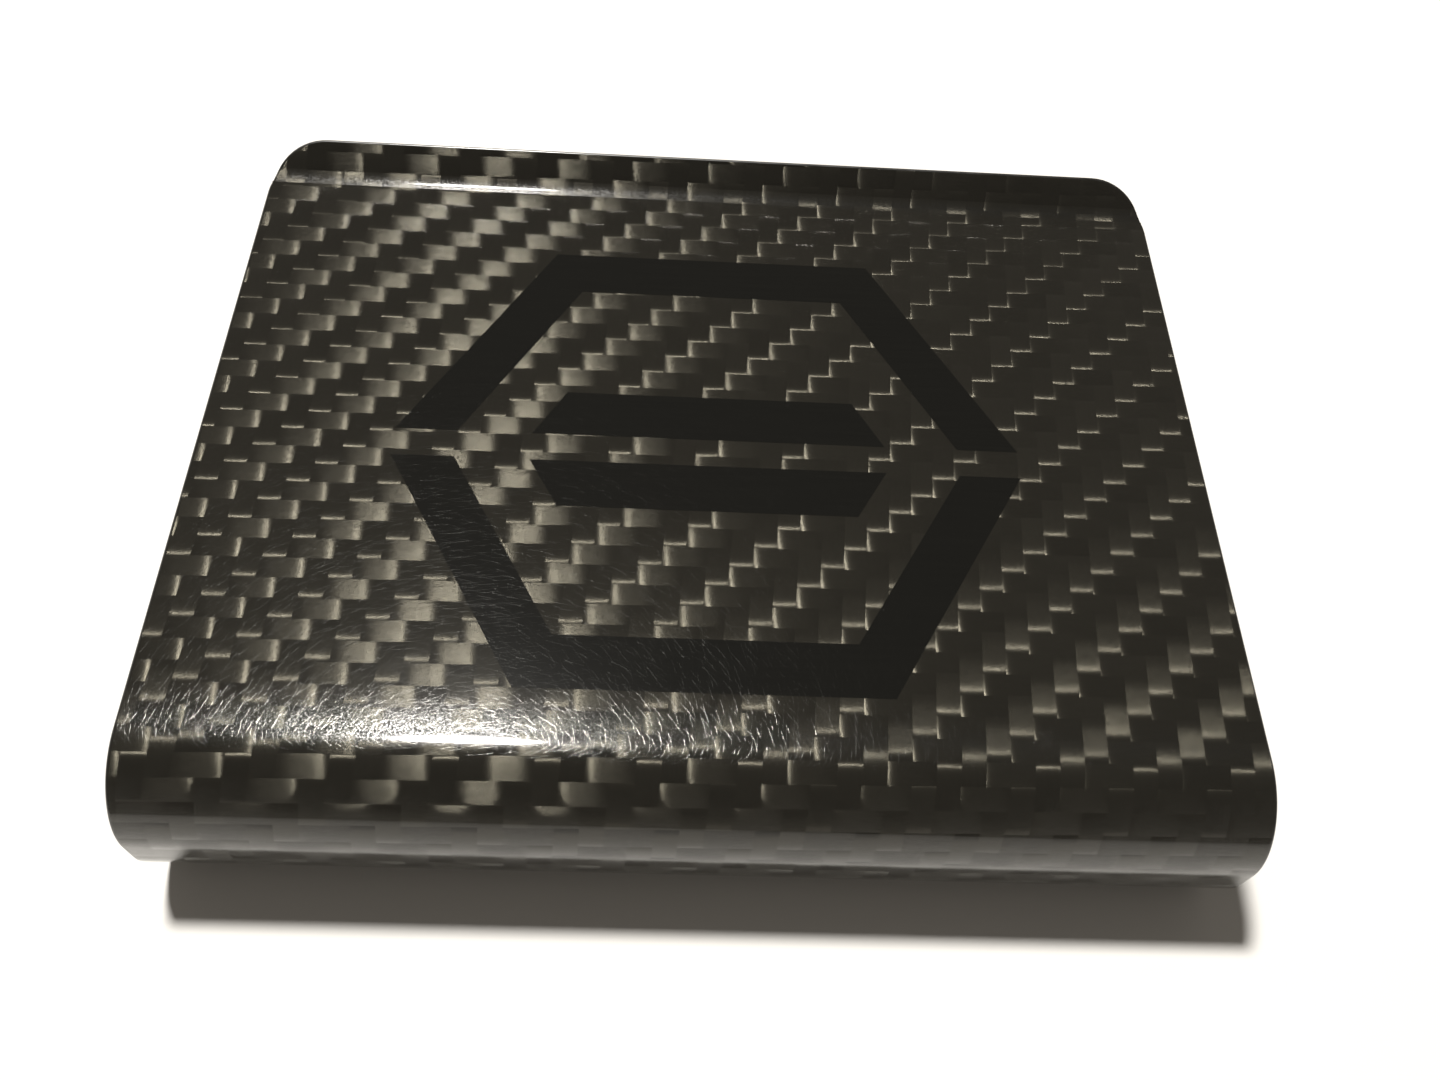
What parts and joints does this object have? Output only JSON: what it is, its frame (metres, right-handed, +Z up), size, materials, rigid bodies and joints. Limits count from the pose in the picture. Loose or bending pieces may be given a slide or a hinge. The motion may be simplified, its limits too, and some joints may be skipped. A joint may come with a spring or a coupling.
{
  "type": "money clip",
  "caption": "Wide carbon-fibre money clip: one bent laminate with a flat top leaf, a rounded bend and a sprung lower leaf that pinches notes under a flared lip.",
  "frame": {"origin": "on the table under the middle of the clip's bounding box", "axes": "+X across the clip along the bend, +Y from the bend towards the open lips, +Z up from the table to the emblem face"},
  "size_m": [0.094, 0.0744, 0.0202],
  "materials": {
    "carbon_twill": "3K 2x2 twill carbon-fibre face ply under gloss resin",
    "carbon_inner_twill": "carbon twill, satin resin",
    "carbon_core": "carbon laminate, sanded cut edge",
    "clear_coat": "high-gloss clear coat with fine scratches",
    "emblem_film": "matte black film, plain geometric emblem"
  },
  "bodies": {
    "lower_leaf": {"lower_clear_coat": "clear_coat", "lower_face_ply": "carbon_twill", "lower_core_ply_1": "carbon_core", "lower_core_ply_2": "carbon_core", "lower_core_ply_3": "carbon_core", "lower_core_ply_4": "carbon_core", "lower_inner_ply": "carbon_inner_twill"},
    "upper_leaf": {"upper_clear_coat": "clear_coat", "upper_face_ply": "carbon_twill", "upper_core_ply_1": "carbon_core", "upper_core_ply_2": "carbon_core", "upper_core_ply_3": "carbon_core", "upper_core_ply_4": "carbon_core", "upper_inner_ply": "carbon_inner_twill", "emblem_frame_near": "emblem_film", "emblem_frame_far": "emblem_film", "emblem_bar_near": "emblem_film", "emblem_bar_far": "emblem_film"}
  },
  "joints": [
    {"name": "leaf_spread", "type": "hinge", "parent": "lower_leaf", "child": "upper_leaf", "pos_m": [0, -0.03635, 0.0087], "axis": [1, 0, 0], "range_deg": [0, 5], "stiffness_Nm_per_rad": 4, "springref_deg": -1.15}
  ]
}
